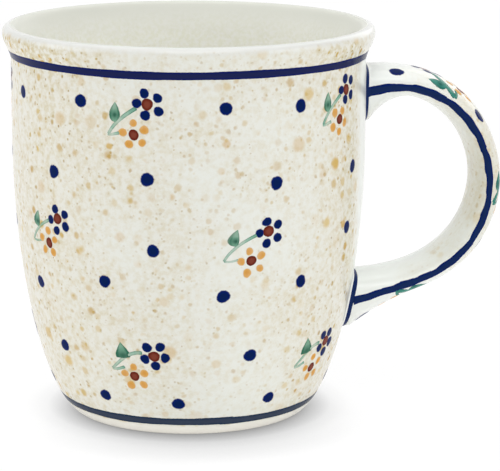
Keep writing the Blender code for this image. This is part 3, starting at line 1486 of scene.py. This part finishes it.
@dataclass(frozen=True)
class Sprig:
    """A sprig with a blue and an ochre flower, drawn from the middle of the blue one.

    Places lie right and up from there, and turns are in degrees. A stroke has its start, its two
    pulls and its end.
    """

    petals: int = 5
    petal_reach: Pair = mm(2.55, 2.85)
    blue_petal: Pair = mm(1.15, 1.38)
    ochre_petal: Pair = mm(1.0, 1.3)
    petal_wander: float = 4.0
    blue_turn: float = 107.0
    ochre_turns: Pair = (97.0, 57.0)
    blue_centre: float = 1.5 * MM
    ochre_centre: float = 1.35 * MM
    centre_stray: float = 0.35 * MM
    ochre_places: tuple[Pair, Pair] = (mm(-3.6, -7.0), mm(-3.8, -7.0))
    stem: tuple[Pair, ...] = (mm(-2.8, -0.8), mm(-6.0, -2.6), mm(-8.8, -4.6), mm(-10.0, -7.0))
    stem_widths: Pair = mm(1.15, 0.8)
    spur: tuple[Pair, ...] = (mm(-10.2, -7.0), mm(-9.4, -7.2), mm(-8.6, -6.9), mm(-7.0, -6.6))
    spur_widths: Pair = mm(0.6, 0.9)
    leaf_base: Pair = mm(-8.3, -4.2)
    leaf_tip: Pair = mm(-8.0, 0.5)
    leaf_widths: Pair = mm(1.55, 1.4)
    leaf_broad: float = 0.36
    leaf_pool: Pair = (0.9, 0.16)
    stem_pools: Pair = (0.5, 0.2)
    spur_pools: Pair = (0.3, 0.3)

    def flower(
        self, layer: PaintLayer, chart: Chart, middle: Pair, turn: float, radius: Pair, rng: random.Random
    ) -> None:
        """Dabs a ring of petals.

        Args:
            layer: paint of the petals.
            chart: surface that they are put on.
            middle: middle of the flower.
            turn: direction of the first petal, in degrees.
            radius: the petals' least and greatest half length.
            rng: draws how each petal strays.
        """
        for i in range(self.petals):
            stray = rng.uniform(-self.petal_wander, self.petal_wander)
            angle = math.radians(turn + 360 * i / self.petals + stray)
            reach = rng.uniform(*self.petal_reach)
            spot = (middle[0] + reach * math.cos(angle), middle[1] + reach * math.sin(angle))
            layer.dab(chart, spot, (rng.uniform(*radius), rng.uniform(*radius)), angle, rng)

    def centre(
        self, layer: PaintLayer, chart: Chart, middle: Pair, radius: float, rng: random.Random
    ) -> None:
        """Dabs the middle of a flower, a little off its true place.

        Args:
            layer: paint of the middle.
            chart: surface that it is put on.
            middle: middle of the flower.
            radius: the dab's half length.
            rng: draws how it strays.
        """
        spot = tuple(value + rng.uniform(-self.centre_stray, self.centre_stray) for value in middle)
        layer.dab(chart, spot, (radius, radius), 0.0, rng)

    def paint(self, palette: Palette, chart: Chart, number: int, rng: random.Random) -> None:
        """Paints the sprig.

        Args:
            palette: paints of the piece.
            chart: surface that it is painted on.
            number: the sprig's number in its row, which sets its ochre flower one way or the other.
            rng: draws the unevenness of the hand.
        """
        blue, ochre = (0.0, 0.0), self.ochre_places[number % 2]
        ochre_turn = self.ochre_turns[number % 2]
        palette.stems.stroke(chart, self.stem, self.stem_widths, self.stem_pools)
        palette.stems.stroke(chart, self.spur, self.spur_widths, self.spur_pools)
        shape = (self.leaf_widths, self.leaf_broad, self.leaf_pool)
        palette.leaves.leaf(chart, self.leaf_base, self.leaf_tip, *shape)
        self.flower(palette.ochre_petals, chart, ochre, ochre_turn, self.ochre_petal, rng)
        self.flower(palette.blue_petals, chart, blue, self.blue_turn, self.blue_petal, rng)
        self.centre(palette.centres, chart, blue, self.blue_centre, rng)
        self.centre(palette.centres, chart, ochre, self.ochre_centre, rng)


@dataclass(frozen=True)
class SprigRow:
    """A row of sprigs round the wall. The first sprig's place and the tilt are in degrees."""

    heights: tuple[float, ...]
    first_turn: float
    tilt: float
    sprig: Sprig


@dataclass(frozen=True)
class Band:
    """A line drawn on the turning wheel, whose end overlaps its start a little off height.

    It wavers in height and width by so many waves to the turn, and its angles are in degrees.
    """

    height: float
    width: float
    join_turn: float
    name: str
    pigment: Pigment
    overlap: float = 6.0
    drift: float = 0.15 * MM
    waver: float = 0.06 * MM
    lean: float = 0.15 * MM
    lean_turn: float = -150.0
    rise_waves: int = 5
    width_waves: Counts = (9, 31)
    taper: float = 100.0
    steps: Counts = (300, 6)

    def paint(self, palette: Palette, wall: Wall, rng: random.Random) -> None:
        """Draws the band round the wall.

        Args:
            palette: paints of the piece.
            wall: wall that it runs round.
            rng: draws its unevenness.
        """
        phases = [rng.uniform(0, 2 * math.pi) for _ in range(4)]
        start = math.radians(self.join_turn)
        sweep = math.radians(360 + self.overlap)

        def place(x: float, y: float) -> Touch:
            """Lays the band along the wall and across its width.

            Args:
                x: grid place along the band.
                y: grid place across it.

            Returns:
                The surface spot, how near it is to the border and the pooled colour.
            """
            share = (x + 1) / 2
            turn = start + sweep * share
            rise = self.drift * (share - 0.5) + self.waver * math.sin(self.rise_waves * turn + phases[0])
            rise += self.lean * math.cos(turn - math.radians(self.lean_turn))
            half = self.width / 2 + self.waver * math.sin(self.width_waves[0] * turn + phases[1])
            half += self.waver / 2 * math.sin(self.width_waves[1] * turn + phases[2])
            ends = max(0.0, abs(x) * self.taper - (self.taper - 1))
            steep = math.hypot(1.0, wall.slope(self.height))
            return wall.spot(turn, self.height + (rise + half * y) / steep), max(abs(y), ends), 0.0

        palette.line(self.name, self.pigment).patch(self.steps, place)


@dataclass
class WallPattern:
    """The painted pattern round the body: two bands, three rows of sprigs, and dots between.

    A dot has its turn in degrees from the first row's sprig and its height. Those beside the handle
    have a layout of their own, and the painter set a few elsewhere, given by repeat and number.
    """

    wall: Wall
    repeats: int = 5
    bands: tuple[Band, ...] = (
        Band(88.4 * MM, 2.3 * MM, -22.0, "rim_band", COBALT_BAND),
        Band(4.0 * MM, 2.5 * MM, -84.0, "foot_band", COBALT_FOOT, lean=0.0),
    )
    rows: tuple[SprigRow, ...] = (
        SprigRow(mm(81.9, 82.3, 82.5, 82.0, 82.5), -109.4, 2.0, Sprig()),
        SprigRow(
            mm(52.6, 51.5, 52.0, 51.5, 52.5),
            -143.0,
            -3.0,
            Sprig(
                blue_turn=114.0,
                ochre_turns=(93.0, 107.0),
                ochre_places=(mm(-4.1, -6.3), mm(-4.0, -7.1)),
                stem=(mm(-2.6, -0.4), mm(-6.5, -2.0), mm(-9.6, -4.3), mm(-10.8, -7.0)),
                spur=(mm(-10.8, -7.0), mm(-9.8, -7.1), mm(-8.6, -7.0), mm(-7.2, -6.5)),
                stem_widths=mm(0.95, 0.7),
                spur_widths=mm(0.5, 0.6),
                leaf_base=mm(-8.3, -3.4),
                leaf_tip=mm(-8.0, 0.7),
                leaf_widths=mm(2.2, 0.8),
                leaf_broad=0.32,
            ),
        ),
        SprigRow(
            mm(21.8, 20.3, 22.0, 21.5, 22.0),
            -109.4,
            -12.0,
            Sprig(
                blue_petal=mm(1.25, 1.45),
                blue_turn=71.0,
                ochre_turns=(106.0, 112.0),
                ochre_places=(mm(-3.8, -7.0), mm(-2.4, -6.4)),
                stem=(mm(-2.9, -0.1), mm(-5.6, -0.4), mm(-7.4, -2.6), mm(-10.0, -6.6)),
                spur=(mm(-10.0, -6.6), mm(-9.0, -6.6), mm(-8.0, -6.0), mm(-6.8, -5.1)),
                leaf_base=mm(-7.3, -2.9),
                leaf_tip=mm(-8.6, 1.1),
                leaf_widths=mm(2.1, 2.1),
                leaf_broad=0.16,
                leaf_pool=(0.8, 0.3),
            ),
        ),
    )
    dot_radius: Pair = mm(1.67, 1.83)
    dots: tuple[Pair, ...] = (
        (-23.0, 81.6 * MM),
        (23.7, 80.9 * MM),
        (-34.8, 64.0 * MM),
        (-0.5, 64.5 * MM),
        (1.0, 47.7 * MM),
        (-16.0, 39.4 * MM),
        (23.5, 36.6 * MM),
        (34.3, 21.3 * MM),
        (-22.8, 9.8 * MM),
        (8.0, 9.2 * MM),
    )
    moved_dots: tuple[tuple[Counts, Pair], ...] = (
        ((4, 1), (18.9, 81.0 * MM)),
        ((4, 6), (24.3, 35.7 * MM)),
        ((4, 7), (33.1, 20.9 * MM)),
    )
    dots_by_handle: tuple[Pair, ...] = (
        (-22.8, 80.3 * MM),
        (-31.6, 62.9 * MM),
        (5.2, 63.2 * MM),
        (3.2, 48.6 * MM),
        (-20.2, 38.3 * MM),
        (-26.5, 9.2 * MM),
        (17.5, 9.0 * MM),
    )
    handle_repeat: int = 1
    handle_clear: float = 17.0
    seed: int = 7

    def paint(self) -> None:
        """Paints the whole wall."""
        rng = random.Random(self.seed)
        palette = Palette("body", BODY_GLAZE, Slot.BODY, COPPER_WASH, COPPER_GREEN)
        for band in self.bands:
            band.paint(palette, self.wall, rng)
        for row in self.rows:
            for i in range(self.repeats):
                self.place_sprig(palette, row, i, rng)
        moved = dict(self.moved_dots)
        for i in range(self.repeats):
            dots = self.dots_by_handle if i == self.handle_repeat else self.dots
            for number, usual in enumerate(dots):
                offset, height = moved.get((i, number), usual)
                self.place_dot(palette, self.rows[0].first_turn + self.step * i + offset, height, rng)
        palette.finish()

    @property
    def step(self) -> float:
        """Degrees from one repeat to the next."""
        return 360 / self.repeats

    def clear_of_handle(self, turn: float) -> bool:
        """Whether a place lies far enough round the wall from the handle."""
        return abs((turn + 180) % 360 - 180) > self.handle_clear

    def place_sprig(self, palette: Palette, row: SprigRow, number: int, rng: random.Random) -> None:
        """Paints one sprig of a row where the handle leaves room for it.

        Args:
            palette: paints of the body.
            row: the sprig's row.
            number: its number in the row.
            rng: draws the unevenness of the hand.
        """
        turn = row.first_turn + self.step * number
        if self.clear_of_handle(turn):
            chart = self.wall.chart(math.radians(turn), row.heights[number], math.radians(row.tilt))
            row.sprig.paint(palette, chart, number, rng)

    def place_dot(self, palette: Palette, turn: float, height: float, rng: random.Random) -> None:
        """Puts one dot where the handle leaves room for it.

        Args:
            palette: paints of the body.
            turn: its place round the wall, in degrees from the handle.
            height: its height above the table.
            rng: draws its unevenness.
        """
        if self.clear_of_handle(turn):
            radii = (rng.uniform(*self.dot_radius), rng.uniform(*self.dot_radius))
            chart = self.wall.chart(math.radians(turn), height)
            palette.dots.dab(chart, (0.0, 0.0), radii, rng.uniform(0, math.pi), rng)


@dataclass
class HandlePattern:
    """The painting on the strap: a line along each edge, sprigs and dots on the outer face.

    A sprig or dot has its place along from the upper root, and round from the middle of the outer
    face. A line's widths and drops are given at the upper root, half way and at the lower root.
    """

    strap: Strap
    sprig: Sprig = Sprig(
        ochre_places=(mm(-4.0, -7.9), mm(-4.0, -7.9)),
        stem_widths=mm(1.5, 2.0),
        leaf_widths=mm(1.9, 1.7),
    )
    sprig_places: tuple[float, ...] = mm(14.8, 43.4, 76.0)
    sprig_girth: float = 0.7 * MM
    dots: tuple[Pair, ...] = (
        mm(6.9, -6.7),
        mm(29.2, -6.9),
        mm(60.5, -5.2),
        mm(90.8, -3.6),
        mm(6.5, 6.0),
        mm(36.0, 6.4),
        mm(66.0, 6.4),
        mm(88.0, 6.0),
    )
    dot_radius: float = 1.9 * MM
    line_widths: Triple = mm(2.6, 1.7, 2.3)
    line_drops: Triple = mm(1.15, 0.4, -0.4)
    root_follow: Pair = (0.1, 0.3)
    line_waver: float = 0.09 * MM
    line_waves: tuple[Pair, ...] = ((7.0 * MM, 0.0), (2.1 * MM, 2.5), (0.9 * MM, 4.0))
    line_steps: Counts = (240, 6)
    seed: int = 3

    def paint(self) -> None:
        """Paints both edges and the outer face."""
        rng = random.Random(self.seed)
        palette = Palette("handle", HANDLE_GLAZE, Slot.HANDLE, DEEP_GREEN, DEEP_GREEN)
        for side in (-1, 1):
            self.edge_line(palette.line("edge_lines", COBALT_EDGE), side)
        for number, along in enumerate(self.sprig_places):
            self.sprig.paint(palette, self.strap.chart(along, self.sprig_girth), number, rng)
        for along, girth in self.dots:
            palette.dots.dab(self.strap.chart(along, girth), (0.0, 0.0), (self.dot_radius,) * 2, 0.0, rng)
        palette.finish()

    def edge_angle(self, side: int, along: float, across: float) -> float:
        """Angle round the section of a place on the line along one edge.

        Args:
            side: -1 for the edge towards -Y, 1 for the other.
            along: how far along from the upper root.
            across: place across the line, from -1 at its inner border to 1 at its outer one.

        Returns:
            The angle.
        """
        strap = self.strap
        share = along / strap.length
        half = self.between(self.line_widths, share) / 2
        outer, inner = strap.depths(along)
        rise = half * across - self.between(self.line_drops, share)
        for length, border in self.line_waves:
            rise += self.line_waver * math.sin(along / length + border * across + side)
        rise += self.root_follow[1] * (outer - strap.thickness / 2)
        rise -= self.root_follow[0] * (inner - strap.thickness / 2)
        return side * (math.pi / 2 - math.asin(rise / (outer if rise > 0 else inner)))

    def edge_line(self, layer: PaintLayer, side: int) -> None:
        """Draws the line along one edge of the strap.

        Args:
            layer: paint of the line.
            side: -1 for the edge towards -Y, 1 for the other.
        """

        def place(x: float, y: float) -> Touch:
            """Lays the line along the strap, by x, and across its width, by y."""
            along = self.strap.length * (x + 1) / 2
            return self.strap.spot(along, self.edge_angle(side, along, y)), abs(y), 0.0

        layer.patch(self.line_steps, place)

    def between(self, values: Triple, share: float) -> float:
        """Works out a value that changes evenly from the upper root to half way, and on from there.

        Args:
            values: the value at the upper root, half way and at the lower root.
            share: how far along the strap, from 0 to 1.

        Returns:
            The value there.
        """
        if share < 0.5:
            return values[0] + (values[1] - values[0]) * share * 2
        return values[1] + (values[2] - values[1]) * (share * 2 - 1)


@dataclass
class RootLines:
    """The line drawn round each root, where the strap meets the wall and the edge lines end.

    The shares are where each line's middle lies on its collar, from the wall, 0, to the strap, 1.
    """

    collars: tuple[SlipCollar, ...]
    pattern: HandlePattern
    shares: Pair = (0.42, 0.66)
    half_width: float = 0.25
    slimmest: float = 0.45
    film: float = 0.05 * MM
    ring_steps: Counts = (160, 4)
    join_steps: Counts = (6, 6)

    def paint(self) -> None:
        """Draws the lines."""
        layer = PaintLayer("root_lines", COBALT_EDGE, HANDLE_GLAZE, Slot.SLIP, self.film)
        for collar, share in zip(self.collars, self.shares):
            self.draw(layer, collar, share)
            for side in (-1, 1):
                self.join(layer, collar, share, side)
        layer.finish()

    def draw(self, layer: PaintLayer, collar: SlipCollar, middle: float) -> None:
        """Draws one line, thinner where it passes the strap's crest and its inner face.

        Args:
            layer: paint of the line.
            collar: collar that it is drawn on.
            middle: where its middle lies, from the wall, 0, towards the strap, 1.
        """

        def place(x: float, y: float) -> Touch:
            """Lays the line round the root and across its width.

            Args:
                x: grid place round the root.
                y: grid place across the line.

            Returns:
                The surface spot, how near it is to the border and the pooled colour.
            """
            angle = math.pi * (x + 1)
            half = self.half_width * (self.slimmest + (1 - self.slimmest) * abs(math.sin(angle)))
            return collar.spot(angle, middle + half * y), abs(y), 0.0

        layer.patch(self.ring_steps, place)

    def join(self, layer: PaintLayer, collar: SlipCollar, middle: float, side: int) -> None:
        """Carries an edge line over the collar to the line round the root.

        Args:
            layer: paint of the line.
            collar: collar that it crosses.
            middle: where the middle of the line round the root lies.
            side: -1 for the edge towards -Y, 1 for the other.
        """
        root = collar.root
        along = root.start(collar.strap) + root.away * collar.climb / 2

        def place(x: float, y: float) -> Touch:
            """Lays the line across its width, by x, and over the fillet, by y."""
            share = middle + (1.0 - middle) * (y + 1) / 2
            return collar.spot(self.pattern.edge_angle(side, along, x), share), abs(x), 0.0

        layer.patch(self.join_steps, place)


@dataclass(frozen=True)
class ContactShade:
    """A soft part of the mug's shadow, by how much of the mug a point of the floor has close by.

    Attributes:
        reach: how far from the mug it goes.
        towards: the way in which the floor looks for the mug.
        spare: share of the mug in sight that still gives no shade.
        depth: how dark it is.
    """

    reach: float
    towards: Triple
    spare: float
    depth: float


@dataclass(frozen=True)
class Softbox:
    """A square soft light that faces the mug, with its side in metres and its power in watts."""

    name: str
    place: Triple
    side: float
    power: float


@dataclass
class Studio:
    """A white floor, soft light from all round and the photograph's viewpoint."""

    axis: Vector
    image_width: int = 500
    focal_px: float = 2565.6
    sensor: float = 36.0
    distance: float = 616.4 * MM
    camera_height: float = 176.4 * MM
    azimuth: float = math.radians(-7.0)
    pitch: float = math.radians(12.266)
    yaw: float = math.radians(1.348)
    roll: float = math.radians(-0.185)
    floor_size: float = 4.0
    floor_white: str = "f9f9f9"
    floor_shown: str = "404040"
    floor_glow: float = 0.965
    contacts: tuple[ContactShade, ...] = (
        ContactShade(reach=5.0 * MM, towards=(0.0, 0.0, 1.0), spare=0.0, depth=0.24),
        ContactShade(reach=11.0 * MM, towards=(0.0, 0.0, 1.0), spare=0.1, depth=0.26),
        ContactShade(reach=26.0 * MM, towards=(0.0, 0.97, 0.2), spare=0.24, depth=0.7),
    )
    contact_samples: int = 16
    bounce: float = 0.23
    ambient: float = 0.18
    softboxes: tuple[Softbox, ...] = (
        Softbox("overhead softbox", (0.0, 0.0, 1.25), 1.8, 10.8),
        Softbox("front softbox", (0.0, -0.8, 1.2), 1.0, 5.1),
        Softbox("left softbox", (-1.1, 0.0, 0.5), 0.8, 3.8),
        Softbox("right softbox", (1.05, -0.6, 0.6), 0.8, 3.4),
        Softbox("back softbox", (0.8, 0.9, 0.6), 0.8, 1.8),
    )
    clip_end: float = 20.0

    def build(self) -> None:
        """Builds the floor, the light and the camera."""
        self.floor()
        self.world()
        for softbox in self.softboxes:
            self.lamp(softbox)
        self.camera()
        bpy.context.scene.view_settings.view_transform = "Standard"

    def seen_white(self, tree: Tree) -> Socket:
        """Finds the rays that show the background: the camera's, and those that gloss or glass sends on.

        Args:
            tree: node tree of the background's material.

        Returns:
            The socket that gives 1 for such a ray.
        """
        path = add_node(tree, "ShaderNodeLightPath").node.outputs
        shown = path["Is Camera Ray"]
        for name in ("Is Glossy Ray", "Is Transmission Ray"):
            shown = add_node(tree, "ShaderNodeMath", {0: shown, 1: path[name]}, operation="MAXIMUM")
        return shown

    def floor(self) -> None:
        """A plain floor that is white to the camera and keeps the mug's shadow, which falls forwards."""
        shape = bmesh.new()
        bmesh.ops.create_grid(shape, x_segments=1, y_segments=1, size=self.floor_size)
        mesh = bpy.data.meshes.new("floor")
        shape.to_mesh(mesh)
        shape.free()
        material = empty_material("white paper sweep")
        tree = material.node_tree
        sheet = add_node(tree, "ShaderNodeBsdfDiffuse", {"Color": linear(self.floor_white)})
        bounce = add_node(tree, "ShaderNodeEmission", {"Strength": self.bounce})
        paper = add_node(tree, "ShaderNodeAddShader", {0: sheet, 1: bounce})
        shown = add_node(tree, "ShaderNodeBsdfDiffuse", {"Color": linear(self.floor_shown)})
        glow = self.floor_glow - sum(contact.depth for contact in self.contacts)
        for contact in self.contacts:
            towards = add_node(tree, "ShaderNodeCombineXYZ", dict(zip("XYZ", contact.towards)))
            clear = add_node(
                tree,
                "ShaderNodeAmbientOcclusion",
                {"Distance": contact.reach, "Normal": towards},
                out="AO",
                samples=self.contact_samples,
            )
            eased = {0: clear, 1: contact.spare}
            clear = add_node(tree, "ShaderNodeMath", eased, operation="ADD", use_clamp=True)
            lit = {0: clear, 1: contact.depth, 2: glow}
            glow = add_node(tree, "ShaderNodeMath", lit, operation="MULTIPLY_ADD")
        glow = add_node(tree, "ShaderNodeMath", {0: glow, 1: 0.0}, operation="MAXIMUM")
        light = add_node(tree, "ShaderNodeEmission", {"Strength": glow})
        white = add_node(tree, "ShaderNodeAddShader", {0: shown, 1: light})
        both = add_node(tree, "ShaderNodeMixShader", {0: self.seen_white(tree), 1: paper, 2: white})
        add_node(tree, "ShaderNodeOutputMaterial", {"Surface": both})
        mesh.materials.append(material)
        floor = bpy.data.objects.new("floor", mesh)
        bpy.context.scene.collection.objects.link(floor)

    def world(self) -> None:
        """Even light from all round, white where it shows."""
        world = bpy.data.worlds.new("white tent")
        world.use_nodes = True
        tree = world.node_tree
        tree.nodes.clear()
        plain = (1.0, 1.0, 1.0, 1.0)
        dim = add_node(tree, "ShaderNodeBackground", {"Color": plain, "Strength": self.ambient})
        white = add_node(tree, "ShaderNodeBackground", {"Color": plain, "Strength": 1.0})
        both = add_node(tree, "ShaderNodeMixShader", {0: self.seen_white(tree), 1: dim, 2: white})
        add_node(tree, "ShaderNodeOutputWorld", {"Surface": both})
        bpy.context.scene.world = world

    def lamp(self, softbox: Softbox) -> None:
        """Hangs a soft box so that it faces the mug.

        Args:
            softbox: its name, place, side and power.
        """
        data = bpy.data.lights.new(softbox.name, "AREA")
        data.size = softbox.side
        data.energy = softbox.power
        lamp = bpy.data.objects.new(softbox.name, data)
        lamp.location = softbox.place
        lamp.rotation_euler = (-lamp.location).to_track_quat("-Z", "Y").to_euler()
        bpy.context.scene.collection.objects.link(lamp)

    def camera(self) -> None:
        """The camera, at the photograph's place and angle."""
        data = bpy.data.cameras.new("camera")
        data.sensor_fit = "HORIZONTAL"
        data.sensor_width = self.sensor
        data.lens = self.focal_px * self.sensor / self.image_width
        data.clip_end = self.clip_end
        camera = bpy.data.objects.new("camera", data)
        away = Vector((math.sin(self.azimuth), -math.cos(self.azimuth), 0.0))
        camera.location = self.axis + away * self.distance + UP * self.camera_height
        camera.rotation_euler = (math.pi / 2 - self.pitch, self.roll, self.azimuth - self.yaw)
        bpy.context.scene.collection.objects.link(camera)
        bpy.context.scene.camera = camera


def main() -> None:
    """Builds the mug's pieces, paints them and sets up the studio."""
    logging.basicConfig(level=logging.INFO, format="%(name)s: %(message)s")
    wall = Wall.from_frame()
    strap = Strap.from_frame(wall)
    MugBody(wall).build()
    strap.build()
    collars = tuple(SlipCollar(strap, root) for root in Root)
    for collar in collars:
        collar.build()
    WallPattern(wall).paint()
    on_strap = HandlePattern(strap)
    on_strap.paint()
    RootLines(collars, on_strap).paint()
    Studio(wall.axis).build()
    bpy.context.view_layer.update()


if __name__ == "__main__":
    main()
